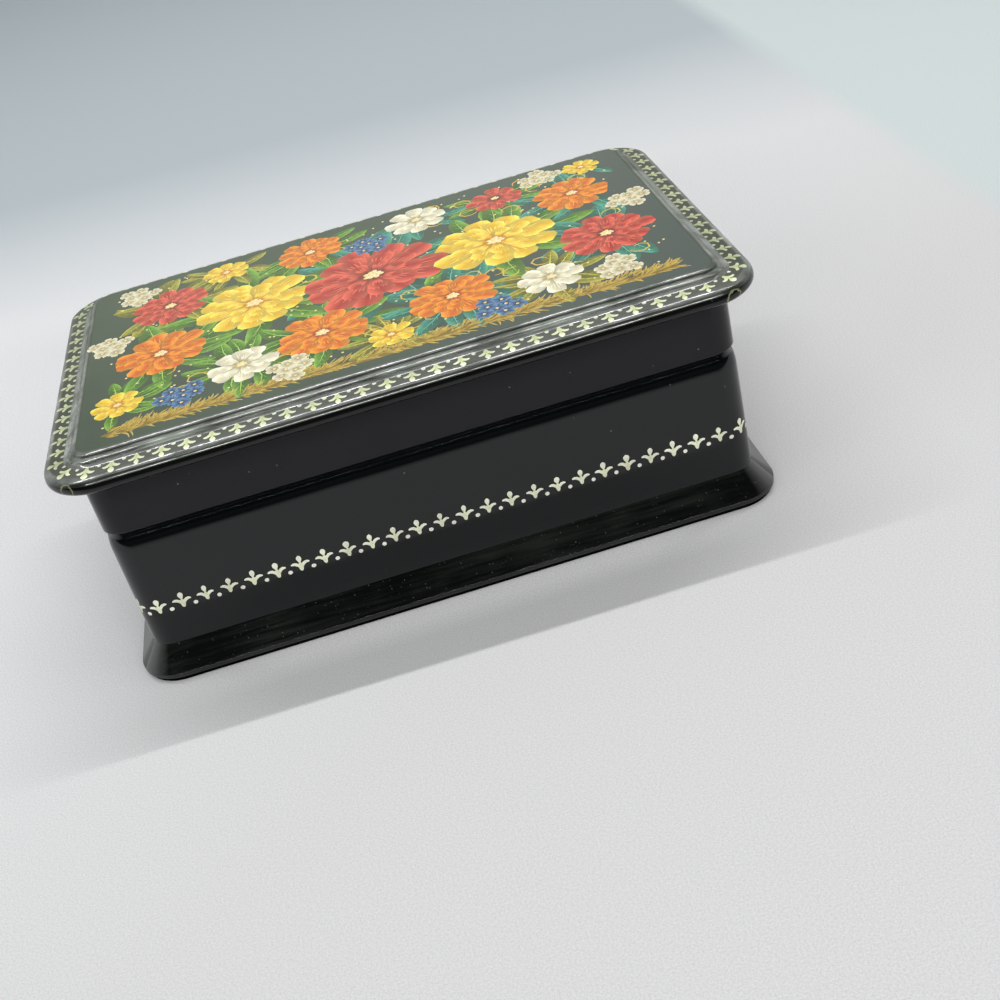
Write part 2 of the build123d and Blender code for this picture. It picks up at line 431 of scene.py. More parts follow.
# %% Section and outline functions
wall_high = np.array(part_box("body_wall")[1]) / MM
half_length, half_width = wall_high[0], wall_high[1]
wall_corner_radius = 5.4
arc_steps, side_steps = 9, 26
support, sharp_arris = 0.05, 0.6


def section(corners, radii):
    """Turns each corner of a polyline by an arc of its radius, tangent to both legs.
    With leg directions u and v and the angle a between them, the arc starts r / tan(a / 2) along u,
    its centre is r / sin(a / 2) along their bisector, and its points swing evenly from u's tangent
    point to v's. Returns rows of (margin, height, arris), where arris is 1 at the middle of an arc."""
    corners = np.array(corners, float)
    rows = []
    neighbours = np.roll(corners, 1, 0), np.roll(corners, -1, 0)
    for here, before, after, radius in zip(corners, *neighbours, radii):
        if radius == 0:
            rows.append([[*here, sharp_arris]])
            continue
        u = (before - here) / np.linalg.norm(before - here)
        v = (after - here) / np.linalg.norm(after - here)
        half = np.arccos(np.clip(u @ v, -1, 1)) / 2
        reach = radius / np.tan(half)
        centre = here + (u + v) / np.linalg.norm(u + v) * radius / np.sin(half)
        start, end = here + u * reach - centre, here + v * reach - centre
        share = np.linspace(0, 1, arc_steps + 1)[:, None]
        swing = np.pi - 2 * half
        arc = (start * np.sin((1 - share) * swing) + end * np.sin(share * swing)) / np.sin(swing)
        arc = np.hstack([centre + arc, np.sin(np.pi * share)])
        lead = [[*(here + u * (reach + support)), 0.0]]
        rows += [lead, arc, [[*(here + v * (reach + support)), 0.0]]]
    return np.concatenate(rows)


def moulding(start, legs):
    """Walks a moulding from a flat top, outwards and down. A leg (r, tilt) turns to that tilt, in
    degrees, by an arc of radius r: margin grows by r (sin new - sin old) and height falls by
    r (cos old - cos new), and a negative r makes the arc hollow. A leg (0, run) goes straight on.
    A third number is the share of dust that lies there. Returns rows of (margin, height, arris):
    small rounded arcs are arrises, and dust counts as less than nothing."""
    place, tilt = np.array(start, float), 0.0
    rows = [[[place[0] - support, place[1], 0.0], [*place, 0.0]]]
    for radius, amount, *dusty in legs:
        if radius:
            angle = np.linspace(tilt, np.radians(amount), arc_steps + 1)[1:, None]
            step = radius * np.hstack([np.sin(angle) - np.sin(tilt), np.cos(angle) - np.cos(tilt)])
            share = np.linspace(0, 1, arc_steps + 1)[1:, None]
            keen = np.sin(np.pi * share) if 0 < radius < 1 else 0 * share
            keen = keen - dusty[0] if dusty else keen
            rows.append(np.hstack([place + step, keen]))
            tilt = np.radians(amount)
        else:
            ends = np.array([support, amount - support, amount])[:, None]
            rows.append(np.hstack([place + ends * [np.cos(tilt), -np.sin(tilt)], 0 * ends]))
        place = rows[-1][-1][:2]
    return np.concatenate(rows)


def rounded_path(long_shares, short_shares, corner_steps=20):
    """A rounded rectangle, counter-clockwise, as rows of (sx, sy, c, s).
    A point of an outline with half sizes hx, hy and corner radius r is
    (sx (hx - r) + r c, sy (hy - r) + r s): on a corner the direction (c, s) turns, and along a side
    sx or sy runs from one corner to the next through the given shares."""
    rows = []
    quarter = np.linspace(0, np.pi / 2, corner_steps + 1)
    for turn, (sx, sy) in enumerate(((1, 1), (-1, 1), (-1, -1), (1, -1))):
        angle = quarter + turn * np.pi / 2
        one = np.ones_like(angle)
        rows.append(np.stack([sx * one, sy * one, np.cos(angle), np.sin(angle)], 1))
        run = -sy * long_shares if turn % 2 == 0 else sx * short_shares
        one = np.ones_like(run)
        sides = (run, sy * one) if turn % 2 == 0 else (sx * one, run)
        rows.append(np.stack([*sides, np.cos(angle[-1]) * one, np.sin(angle[-1]) * one], 1))
    return np.concatenate(rows)


def carry(rows, path, least_radius=0.8):
    """Carries a section round the wall's outline: each row is a ring grown by its margin."""
    margin, height = rows[:, :2].T[:, :, None]
    radius = np.maximum(wall_corner_radius + margin, least_radius)
    sx, sy, c, s = path.T
    x = sx * (half_length + margin - radius) + radius * c
    y = sy * (half_width + margin - radius) + radius * s
    return np.stack([x, y, np.broadcast_to(height, x.shape)], -1)


def ring_faces(rings, count, closed):
    """Quads between each ring and the next, all the way round, and back to the first if closed."""
    ring = np.arange(rings if closed else rings - 1)[:, None]
    step = np.arange(count)
    beside, above = (step + 1) % count, (ring + 1) % rings
    corners = (ring * count + step, ring * count + beside, above * count + beside, above * count + step)
    return np.stack(np.broadcast_arrays(*corners), -1).reshape(-1, 4)


even = np.linspace(-1, 1, side_steps)[1:-1]
plain_path = rounded_path(even, even)
print("outline points", len(plain_path))

# %% [markdown]
# ## Putting pieces into the scene
# A finished piece is an object at the origin whose place is in its mesh. It rides on a body's empty,
# and it hides the solid that it stands for.

# %% Piece helpers
level_tilt, steep_tilt = 6, 16


def put_piece(name, points, faces, body, materials, stands_for=(), crease=32.0):
    """Makes a mesh object from points in millimetres, smooth except where faces meet at a crease."""
    mesh = bpy.data.meshes.new(name)
    mesh.from_pydata((np.reshape(points, (-1, 3)) * MM).tolist(), [], faces)
    mesh.shade_smooth()
    mesh.set_sharp_from_angle(angle=np.radians(crease))
    piece = bpy.data.objects.new(name, mesh)
    scene.collection.objects.link(piece)
    for material in materials:
        mesh.materials.append(material)
    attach(piece, body)
    if stands_for:
        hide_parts(*stands_for)
    return piece


def mark_rings(piece, rows, count):
    """Writes each ring's arris value on its points, for the wear in the lacquer, and its slope, which
    grows from 0 at the level tilt to 1 at the steep one, in degrees."""
    fall, run = np.abs(np.gradient(rows[:, 1])), np.abs(np.gradient(rows[:, 0]))
    tilt = np.degrees(np.arctan2(fall, run))
    slope = np.clip((tilt - level_tilt) / (steep_tilt - level_tilt), 0, 1)
    for name, values in (("arris", rows[:, 2]), ("slope", slope)):
        spread = np.repeat(values, count).astype(np.float32)
        piece.data.attributes.new(name, "FLOAT", "POINT").data.foreach_set("value", spread)


def paint_faces(piece, chosen, slot_number):
    """Gives the chosen faces another of the piece's materials."""
    index = np.zeros(len(piece.data.polygons), np.int32)
    index[chosen] = slot_number
    piece.data.polygons.foreach_set("material_index", index)


def put_rings(name, rows, body, materials, node, closed=False, points=None):
    """A piece of rings, one for each row of a section, carried round the plain outline unless their
    points are given. It is closed into a tube, or its first and last rings are filled flat, and it
    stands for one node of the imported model."""
    points = carry(rows, plain_path) if points is None else points
    rings, count = points.shape[:2]
    faces = ring_faces(rings, count, closed).tolist()
    if not closed:
        last = (rings - 1) * count
        faces += [list(range(count))[::-1], list(range(last, last + count))]
    piece = put_piece(name, points, faces, body, materials, [node])
    mark_rings(piece, rows, count)
    return piece


print("piece helpers ready")

# %% [markdown]
# ## The base board
# The base board slopes down from the wall to a low nose over a bevelled foot, and its top, inside the
# walls, is the red floor of the box.

# %% Base board
base_high = np.array(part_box("base_board")[1]) / MM
base_margin = base_high[0] - half_length
base_nose, foot_height, foot_inset = 2.2, 1.25, 0.7
foot_round, nose_round = 0.1, 0.12
base_corners = [
    (base_margin - foot_inset, 0),
    (base_margin, foot_height),
    (base_margin, base_nose),
    (0, base_high[2]),
]
base_rows = section(base_corners, [0, foot_round, nose_round, 0])
base_coats = [base_lacquer, red_lacquer, dull_foot]
base_board = put_rings("moulded_base", base_rows, "box", base_coats, "base_board")
paint_faces(base_board, np.arange(len(plain_path)), 2)
base_board.data.polygons[-1].material_index = 1
print("base board", len(base_board.data.polygons), "faces")

# %% [markdown]
# ## The lid board
# The lid board has a nearly level ledge for the trefoils and a nose that is easy above and round below.
# The lower part of the nose hangs in shadow, and it has a darker copy of the lid's lacquer as painted
# shade; the lid is red inside.

# %% Lid board
lid_low, lid_high = (np.array(corner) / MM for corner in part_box("lid_board"))
lid_margin = lid_high[0] - half_length
lining_margin = -3.8
ledge_start, ledge_tilt = 1.4, 4.0
nose = [(2.0, 20), (8.0, 26), (0.5, 56, 0.9), (3.0, 74), (2.0, 90), (0, 0.12)]
nose_shadow_drop = 1.45
lid_rows = moulding((ledge_start, lid_high[2]), [(1.0, ledge_tilt), (0, 2.65), *nose])
lid_rows[3:, 0] += lid_margin - lid_rows[:, 0].max()
underside = lid_rows[-1, 1] - lid_low[2]
turn_under = np.radians(np.linspace(0, 90, 12))[1:]
under_rows = np.stack([np.cos(turn_under) - 1, -np.sin(turn_under), 0 * turn_under], 1) * underside
under_rows += lid_rows[-1] * [1, 1, 0]
inner = under_rows[-1, 0]
lid_foot = [[inner - support, lid_low[2], 0.0], [lining_margin, lid_low[2], 0.0]]
lid_rows = np.concatenate([lid_rows, under_rows, lid_foot])[::-1]
lid_coats = [lid_lacquer, red_lacquer, shaded_nose_lacquer]
lid_board = put_rings("moulded_lid", lid_rows, "lid", lid_coats, "lid_board")
ring_index = np.repeat(np.arange(len(lid_rows) - 1), len(plain_path))
# The faces below the drop take the darker lacquer, painted shade for the nose's underside.
below = lid_rows[1:, 1] < lid_high[2] - nose_shadow_drop
paint_faces(lid_board, np.flatnonzero(below[ring_index]), 2)
lid_board.data.polygons[-2].material_index = 1
print("lid board", len(lid_board.data.polygons), "faces")

# %% [markdown]
# ## The picture panel
# The panel is a cushion with two soft steps and a hollow at its foot. Its field lies a little low, so
# that the paint stays inside the casket's real height.

# %% Picture panel
panel_low, panel_high = (np.array(corner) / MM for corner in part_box("picture_panel"))
paint_room = 0.1
field_height = panel_high[2] - paint_room
panel_foot_margin = 1.85
cushion = [(1.1, 20), (6.0, 26), (0.8, 60, 0.8), (0.2, 75, 0.8)]
tread = [(-0.2, 12, 0.7), (2.4, 20, 0.5), (5.0, 26, 0.35), (0.5, 60, 1.6), (0.15, 70, 1.6)]
cove = [(-0.3, 30, 0.8), (-6.0, 20), (-0.8, 0)]
panel_rows = moulding((0, field_height), cushion + tread + cove)
panel_rows[:, 0] += panel_foot_margin - panel_rows[-1, 0]
foot_flare, foot_sink = 0.05, 0.03
panel_foot = panel_rows[-1] + [foot_flare, panel_low[2] - foot_sink - panel_rows[-1, 1], 0]
panel_rows = np.concatenate([panel_rows, [panel_foot]])[::-1]
panel_coats = [lid_lacquer, picture_ground]
picture_panel = put_rings(
    "stepped_panel", panel_rows, "lid", panel_coats, "picture_panel"
)
paint_faces(picture_panel, [-1], 1)
print("panel foot stands", round(panel_rows[1, 1] - panel_low[2], 3), "mm above the ledge")

# %% [markdown]
# ## The walls and the hinge's groove
# The body and the lid's rim are two rings of one wound tube, sawn apart. The body's shoulder eases in
# to a bevel, which makes the black groove under the rim, and the rim keeps a small arris. Along the
# back both are bevelled through the hinge axis, so that the lid can swing, and troughs hold the tubes.
# On a grid of rings that is one rule: no point of the body may lie above the bevel or inside a trough,
# and the rim is the same rule turned over.

# %% Walls
joint = frame["joints"][0]
hinge_y, hinge_z = (v / MM for v in joint["pos_m"][1:])
tube_length, tube_pitch, tube_radius = 14.0, 14.3, 1.3
seat_radius, swing_radius = 1.35, 1.6
bevel_angle = 52.0
bevel_slope = np.tan(np.radians(bevel_angle))
tube_count = 5
tube_places = (np.arange(tube_count) - tube_count // 2) * tube_pitch
groove_depth, trough_edge = 4.0, 0.01
wall_thickness, lid_clearance = 4.2, 0.4
saw_margin, saw_rows, saw_setback = -3.5, 18, 0.1
mouth_round = 0.25
shoulder = [(0.5, 50), (0, 1.25), (0.12, 70), (7.4, 80), (12.0, 90)]
rim_arris = [(0.45, 90)]

walls_between = tube_count + 1
trough_ends = np.repeat((np.arange(walls_between) - tube_count / 2) * tube_pitch, 2)
trough_ends += np.tile([-trough_edge, trough_edge], walls_between)
flat_half_length = half_length - wall_corner_radius
back_shares = np.sort(np.concatenate([np.linspace(-0.98, 0.98, 50), trough_ends / flat_half_length]))
hinged_path = rounded_path(back_shares, even)


def clear_of_hinge(points, seats, side):
    """Keeps a wall out of the hinge. Depth is height below the axis times side, which is 1 for the body
    and -1 for the rim. A point behind the axis goes at least as deep as the bevel, slope times its
    distance behind, and a point over a tube as deep as the trough, sqrt(r^2 - dy^2)."""
    x, y, z = np.moveaxis(points, -1, 0)
    behind = y - hinge_y
    depth = (hinge_z - z) * side
    number = np.floor(x / tube_pitch + tube_count / 2)
    own = np.isin(number, seats)
    radius = np.where(own, seat_radius, swing_radius)
    inside = (np.abs(x) < tube_count / 2 * tube_pitch) & (np.abs(behind) < radius)
    trough = np.where(inside, np.sqrt(np.maximum(radius**2 - behind**2, 0)), -np.inf)
    bevel = np.where(behind > 0, bevel_slope * behind, -np.inf)
    near = depth < groove_depth
    depth = np.where(near, np.maximum(depth, np.maximum(trough, bevel)), depth)
    return np.stack([x, y, hinge_z - depth * side], -1)


def wall_rows(low, high, thickness, side, edge):
    """The wall's section, from its plain end over the outside to the sawn end and down the inside.
    The sawn end is divided finely, because the groove is cut into it."""
    plain, sawn = (low, high) if side > 0 else (high, low)
    outside = moulding((0, 0), edge)[::-1]
    outside[:, 0] -= outside[0, 0]
    outside[:, 1] = sawn + side * outside[:, 1]
    across = np.linspace(outside[-1, 0] - saw_setback, saw_margin, saw_rows)
    end = np.stack([across, np.full(saw_rows, sawn), np.zeros(saw_rows)], 1)
    corners = [(saw_margin, sawn), (-thickness, sawn), (-thickness, plain)]
    inside = section(corners, [0, mouth_round, 0])[1:]
    rows = np.concatenate([[[0, plain, sharp_arris]], outside, end, inside])
    return rows if side > 0 else rows[::-1]


def put_wall(name, node, body, thickness, seats, side, edge, materials):
    """A wall ring with its hinge groove; the faces of its inside take the second material."""
    low, high = (corner[2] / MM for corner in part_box(node))
    rows = wall_rows(low, high, thickness, side, edge)
    points = clear_of_hinge(carry(rows, hinged_path), seats, side)
    piece = put_rings(name, rows, body, materials, node, True, points)
    inner = np.isclose(rows[:, 0], -thickness)
    lined = inner & np.roll(inner, -1)
    paint_faces(piece, np.repeat(lined, len(hinged_path)), 1)
    return piece


body_finish = [black_lacquer, red_lacquer]
rim_finish = [rim_lacquer, red_lacquer]
rim_thickness = wall_thickness - lid_clearance
body_wall = put_wall("body_shell", "body_wall", "box", wall_thickness, (0, 2, 4), 1, shoulder, body_finish)
lid_rim = put_wall("rim_shell", "lid_rim", "lid", rim_thickness, (1, 3), -1, rim_arris, rim_finish)
print("walls", [len(p.data.polygons) for p in (body_wall, lid_rim)], "faces")

# %% [markdown]
# ## The collar
# A thin liner stands inside the body and rises a little above it, so that the lid finds its place. It
# is lacquered red like the rest of the inside.

# %% Collar
collar_low, collar_high = (np.array(corner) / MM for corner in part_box("inner_collar"))
collar_margin = collar_high[0] - half_length
collar_thickness, collar_lead, collar_ease = 1.4, 0.5, 0.35
collar_corners = [
    (collar_margin, collar_low[2]),
    (collar_margin, collar_high[2]),
    (collar_margin - collar_thickness, collar_high[2]),
    (collar_margin - collar_thickness, collar_low[2]),
]
collar_rows = section(collar_corners, [0, collar_lead, collar_ease, 0])
collar = put_rings("red_collar", collar_rows, "box", [red_lacquer], "inner_collar", True)
print("collar", len(collar.data.polygons), "faces")

# %% [markdown]
# ## Metals
# Brass tarnishes unevenly, and a drawn tube or wire has fine lines along its length.

# %% Metals


def metal(name, bright, dull, rough, lines):
    """Bare metal whose colour drifts between bright and tarnished, with fine drawn lines."""
    material, tree, shader, place = new_material(name)
    tarnish = ramp(noise(place, 420.0, 4.0), 0.4, 0.65)
    stretched = add(tree, "Mapping", {"Vector": place, "Scale": lines}).outputs[0]
    surface = {
        "Base Color": mix(tarnish, bright, dull),
        "Roughness": calc("MULTIPLY_ADD", tarnish, 0.2, rough),
        "Metallic": 1.0,
        "Normal": bumped(noise(stretched, 1.0, 2.0), 0.01, 0.5),
    }
    fill(shader, surface)
    return material


hinge_brass = metal("hinge_brass", rgba(214, 178, 106), rgba(150, 112, 58), 0.22, (150.0, 5000.0, 5000.0))
hinge_steel = metal("hinge_steel", rgba(190, 190, 188), rgba(120, 118, 114), 0.25, (100.0, 5000.0, 5000.0))
print("metals", hinge_brass.name, hinge_steel.name)

# %% [markdown]
# ## Hinge tubes and pin
# Five brass tubes share one steel wire. A tube is a ring-shaped section turned about the hinge axis,
# which runs along X.

# %% Tubes and pin
turn_steps = 40


def turned(outline):
    """Turns a closed outline of (x, radius) about the hinge axis: y = r cos a, z = r sin a."""
    x, radius = np.array(outline, float).T[:, :, None]
    angle = np.linspace(0, 2 * np.pi, turn_steps, endpoint=False)
    y = hinge_y + radius * np.cos(angle)
    z = hinge_z + radius * np.sin(angle)
    return np.stack([np.broadcast_to(x, y.shape), y, z], -1)


bore_radius, tube_round = 0.7, 0.12
for number, place in enumerate(tube_places, start=1):
    end = tube_length / 2
    tube = [
        (place - end, bore_radius),
        (place - end, tube_radius - tube_round),
        (place - end + tube_round, tube_radius),
        (place + end - tube_round, tube_radius),
        (place + end, tube_radius - tube_round),
        (place + end, bore_radius),
    ]
    body = "box" if number % 2 else "lid"
    faces = ring_faces(len(tube), turn_steps, True)[:, ::-1].tolist()
    node = f"hinge_knuckle_{number}"
    put_piece(f"brass_tube_{number}", turned(tube), faces, body, [hinge_brass], [node])

pin_radius, pin_bevel = 0.65, 0.2
pin_end = tube_places[-1] + tube_length / 2
pin = [(-pin_end, pin_radius - pin_bevel), (-pin_end + pin_bevel, pin_radius)]
pin += [(-x, r) for x, r in pin[::-1]]
last_ring = (len(pin) - 1) * turn_steps
pin_faces = ring_faces(len(pin), turn_steps, False)[:, ::-1].tolist()
pin_faces += [list(range(turn_steps)), list(range(last_ring, last_ring + turn_steps))[::-1]]
put_piece("steel_pin", turned(pin), pin_faces, "box", [hinge_steel], ["hinge_pin"])
print("hinge pieces", len(tube_places) + 1)

# %% [markdown]
# ## Brush strokes
# All the painting is done with one stroke. Its centre line bends as it goes, its width swells and
# tapers, and it lies on the lacquer as a very thin slab of paint. Textures could carry the pattern, but
# slabs keep a crisp edge however close the eye comes, and thousands of them cost little because numpy
# shapes them all at once.

# %% Stroke functions
first_share, last_share = 0.06, 0.94


def ray(angle, reach):
    """Points at a distance in a direction: reach (cos angle, sin angle)."""
    angle, reach = np.broadcast_arrays(angle, reach)
    return np.stack([reach * np.cos(angle), reach * np.sin(angle)], -1)


def strokes(root, heading, length, width, bend=0.0, curl=0.0, shape=(0.8, 0.4), steps=7, across=3):
    """Many strokes at once, as (stroke, step, across, 2) points with their shares s and t.
    At share s a stroke heads along heading + bend s + curl s^2, and its centre is the running sum of
    those headings. Its width is s^a (1 - s)^b, scaled to peak at the given width, and t goes from its
    right edge at -1 to its left edge at 1."""
    root = np.atleast_2d(root).astype(float)
    count = np.broadcast(root[:, 0], heading, length, width, bend, curl).size
    root = np.broadcast_to(root, (count, 2))
    sizes = (heading, length, width, bend, curl)
    heading, length, width, bend, curl = (np.broadcast_to(v, count)[:, None] for v in sizes)
    a, b = shape
    s = 0.5 - 0.5 * np.cos(np.pi * np.linspace(first_share, last_share, steps))
    t = np.linspace(-1, 1, across)
    angle = heading + bend * s + curl * s**2
    gain = np.diff(s, prepend=0.0)
    between = heading + bend * (s - gain / 2) + curl * (s - gain / 2) ** 2
    centre = root[:, None] + np.cumsum(ray(between, length * gain), 1)
    peak = (a / (a + b)) ** a * (b / (a + b)) ** b
    half = width / 2 * s**a * (1 - s) ** b / peak
    points = centre[:, :, None] + ray(angle + np.pi / 2, half)[:, :, None] * t[:, None]
    return points, s[:, None], t


def shade(points, s, t, root_colour, tip_colour, edge_colour, edge=0.5, lean_to=0.0):
    """Colours for strokes: from root to tip along s, towards the edge colour as t^2 grows, and darker
    on one side by the lean. Colours are (3,) or one row for each stroke."""
    roots, tips, edges = (np.atleast_2d(c)[:, None, None] for c in (root_colour, tip_colour, edge_colour))
    along = s[None, :, :, None]
    colour = roots * (1 - along) + tips * along
    rim = (edge * t**2)[:, None] * along
    colour = colour * (1 - rim) + edges * rim
    colour = colour * (1 - lean_to * t[:, None] / 2)
    return np.broadcast_to(np.clip(colour, 0, 1), (*points.shape[:3], 3))


def slabs(points, top, colours, bottom=-0.01, crown=0.0):
    """Closes strokes into thin slabs. Each step becomes a ring: the right edge below, the row of points
    on top, and the left edge below; quads join the rings, and the end rings are filled.
    Returns points (n, 3) as (u, v, height), faces and colours."""
    count, steps, across = points.shape[:3]
    lift = np.broadcast_to(np.reshape(top, (-1, 1, 1)), points.shape[:3])
    bulge = crown * (1 - np.linspace(-1, 1, across) ** 2)
    upper = np.concatenate([points, (lift + bulge)[..., None]], -1)
    lower = upper[:, :, [0, -1]].copy()
    lower[..., 2] = bottom
    rings = np.concatenate([lower[:, :, :1], upper, lower[:, :, 1:]], 2)
    tints = np.concatenate([colours[:, :, :1], colours, colours[:, :, -1:]], 2)
    around = across + 2
    quads = ring_faces(steps, around, False)[:, [0, 3, 2, 1]]
    shift = np.arange(count)[:, None, None] * steps * around
    first = np.arange(around) + shift[:, 0]
    final = first[:, ::-1] + (steps - 1) * around
    faces = (quads + shift).reshape(-1, 4).tolist() + first.tolist() + final.tolist()
    return rings.reshape(-1, 3), faces, tints.reshape(-1, 3)


def join(parts):
    """Joins lists of (points, faces, colours) into one, moving the face numbers along."""
    points, faces, colours = [], [], []
    total = 0
    for some, its_faces, tints in parts:
        points.append(some)
        faces += [[v + total for v in face] for face in its_faces]
        colours.append(tints)
        total += len(some)
    return np.concatenate(points), faces, np.concatenate(colours)


def mark_paint(piece, colours):
    """Writes the colours on the piece's points, for its paint material."""
    whole = np.concatenate([colours, np.ones((len(colours), 1))], 1).astype(np.float32)
    piece.data.attributes.new("paint", "FLOAT_COLOR", "POINT").data.foreach_set("color", whole.ravel())


print("stroke functions ready")

# %% [markdown]
# ## Paint
# Two kinds of paint lie on the casket. The trefoils are pale gold on top of the lacquer, so they are
# softer in their shine. The picture lies under the last coat, so it has the lacquer's own gloss and
# its wavering reflections. Both read their colour from the strokes and vary it a little.

# %% Paint materials


def paint(name, rough, wave, grain):
    """Paint that takes its colour from the strokes, mottled by a fine grain."""
    material, tree, shader, place = new_material(name)
    colour = add(tree, "Attribute", attribute_name="paint").outputs["Color"]
    mottle = noise(place, grain, 3.0)
    value = calc("MULTIPLY_ADD", mottle, 0.5, 0.75)
    height = use_group(flow, place, Waves=240.0, Ripple=0.02)
    surface = {
        "Base Color": add(tree, "HueSaturation", {"Color": colour, "Value": value}).outputs[0],
        "Roughness": calc("MULTIPLY_ADD", mottle, 0.08, rough),
        "Normal": bumped(height, wave),
    }
    fill(shader, surface)
    return material


gilt_paint = paint("gilt_paint", 0.3, 0.01, 1400.0)
picture_paint = paint("picture_paint", 0.03, 0.03, 900.0)
print("paints ready")

# %% [markdown]
# ## The trefoil sign
# The painter repeats one sign: a rounded bud, two arms that rise from the tail and droop outwards, a
# pointed tail, and a dot between each sign and the next. Each one is a little different, as a brush
# makes it.

# %% Trefoil signs
wall_gold = (srgb(206, 208, 178), srgb(222, 225, 208), srgb(216, 218, 206))
lid_gold = (srgb(192, 200, 146), srgb(230, 237, 202), srgb(218, 224, 198))


def signs(count, wide, tall, weight, pitch, gold):
    """The strokes of many trefoils about the place where their arms part, as (points, colours) for
    each stroke. The bud is a drop on a thin neck. The arms are mirrored strokes that leave the tail
    upwards and bend over at the end, and the tail is a wedge."""
    jitter = rng.normal(0, 1, (6, count))
    strength = rng.uniform(0.8, 1.02, count)
    up = np.pi / 2
    leaf, tip, dot = gold
    turn, grow = 0.045 * jitter[0], 1 + 0.03 * jitter[1]
    spin = np.array([[np.cos(turn), -np.sin(turn)], [np.sin(turn), np.cos(turn)]]) * grow
    parts = []

    def sign(at, heading, length, width, colours, moving=True, **shape):
        points, s, t = strokes(np.tile(at, (count, 1)), heading, length, width * weight, **shape)
        if moving:
            points = np.einsum("ijn,nsaj->nsai", spin, points)
        tints = shade(points, s, t, *colours, edge=0.3) * strength[:, None, None, None]
        parts.append((points * [wide, tall], tints))

    sign((0, 0.05), up, 2.08, 1.3 + 0.07 * jitter[2], (leaf, tip, tip), shape=(1.5, 0.72), steps=9)
    for side in (-1, 1):
        reach = 2.67 + 0.1 * jitter[3 + (side > 0)]
        aim = up - side * 0.49
        sign((0, -1.0), aim, reach, 0.78, (leaf, tip, tip), curl=-side * 1.8, shape=(0.42, 0.42), steps=8)
    sign((0, 0.55), -up, 2.2, 1.1, (leaf, leaf, tip), shape=(0.6, 0.5))
    dot_size = 1.02 + 0.05 * jitter[5]
    dot_place = (pitch / 2 / wide - 0.55, -1.3)
    sign(dot_place, 0.0, dot_size, 1.0, [dot] * 3, moving=False, shape=(0.5, 0.5))
    return parts


print("signs ready")

# %% [markdown]
# ## Laying the borders
# The signs run round the body with the buds up, and round the lid's ledge with the buds out. A border
# follows the outline by its length, so the signs turn the corners evenly.

# %% Borders
paint_edge, paint_crown, end_margin = 0.012, 0.02, 0.5
body_row_height, body_row_lean = 17.5, 0.0042
ledge_middle, painted_fall = 2.88, 1.2
nose_top = lid_rows[(lid_rows[:, 1] > lid_high[2] - painted_fall) & (lid_rows[:, 0] > 0)][::-1]


def border(margin):
    """The outline at a margin as (length, function): the function takes distances along it and gives
    points and outward directions, read off a dense copy of the outline."""
    long_side, short_side = (np.linspace(-1, 1, steps)[1:-1] for steps in (400, 260))
    fine = rounded_path(long_side, short_side, corner_steps=90)
    fine = np.concatenate([fine, fine[:1]])
    ring = carry(np.array([[margin, 0.0, 0.0]]), fine)[0, :, :2]
    reach = np.concatenate([[0], np.cumsum(np.linalg.norm(np.diff(ring, axis=0), axis=1))])

    def at(distance):
        there = np.mod(distance, reach[-1])
        columns = [np.interp(there, reach, column) for column in (*ring.T, *fine[:, 2:].T)]
        return np.stack(columns[:2], -1), np.stack(columns[2:], -1)

    return reach[-1], at


def put_border(name, body, margin, count, size, start, gold, lay, ends=1.0):
    """Places the signs evenly round an outline. size is how wide and tall they are and the weight of
    their strokes. lay turns (u, v, height), the place on the border and the function of the border into
    points in space. ends is the share of the gold's colour kept on the short sides, a painted shade that
    makes them darker."""
    length, at = border(margin)
    pitch = length / count
    places = start + np.arange(count) * pitch + rng.normal(0, 0.05, count)
    parts = []
    for points, colours in signs(count, *size, pitch, gold):
        slab_points, faces, tints = slabs(points, paint_edge, colours, bottom=-0.02, crown=paint_crown)
        owner = np.repeat(places, len(slab_points) // count)
        parts.append((lay(slab_points, owner, at), faces, tints))
    points, faces, tints = join(parts)
    # Painted shade: signs past the ends of the long sides have their colour multiplied by ends.
    painted_side_shade = np.where(np.abs(points[:, :1]) > half_length + end_margin, ends, 1.0)
    piece = put_piece(name, points, faces, body, [gilt_paint])
    mark_paint(piece, tints * painted_side_shade)
    print(name, count, "signs,", round(pitch, 2), "mm apart,", len(faces), "faces")


def on_wall(local, owner, at):
    """Body row: u runs along the wall, v is up and the paint's height is outwards. The row climbs a
    little to the right."""
    place, outward = at(owner + local[:, 0])
    level = (body_row_height + body_row_lean * place[:, 0] + local[:, 1])[:, None]
    return np.concatenate([place + outward * local[:, 2:], level], 1)


def on_ledge(local, owner, at):
    """Lid row: v is outwards, and past the flat ledge the surface falls away as the nose's rows do."""
    place, outward = at(owner - local[:, 0])
    level = np.interp(ledge_middle + local[:, 1], nose_top[:, 0], nose_top[:, 1]) + local[:, 2]
    return np.concatenate([place + outward * local[:, 1:2], level[:, None]], 1)


body_row = {"margin": 0.0, "count": 84, "size": (0.96, 1.0, 0.93), "start": 2.8}
# The lid's short sides keep 0.7 of their gold colour, a painted shade where the light falls less.
lid_row = {"margin": ledge_middle, "count": 89, "size": (0.86, 0.95, 1.1), "start": 3.6, "ends": 0.7}
put_border("body_trefoils", "box", gold=wall_gold, lay=on_wall, **body_row)
put_border("lid_trefoils", "lid", gold=lid_gold, lay=on_ledge, **lid_row)

# %% [markdown]
# ## The painted field
# The field carries a bouquet in the bright colours of lacquer painting on a slate green ground: red,
# yellow and orange blossoms, blue posies, and leaves, with a feathery ochre bank along the front. Each
# kind of thing has its own layer, and inside a layer no two strokes are equally high, so that later
# strokes lie over earlier ones as they would on the casket. All the layers together are a tenth of a
# millimetre.

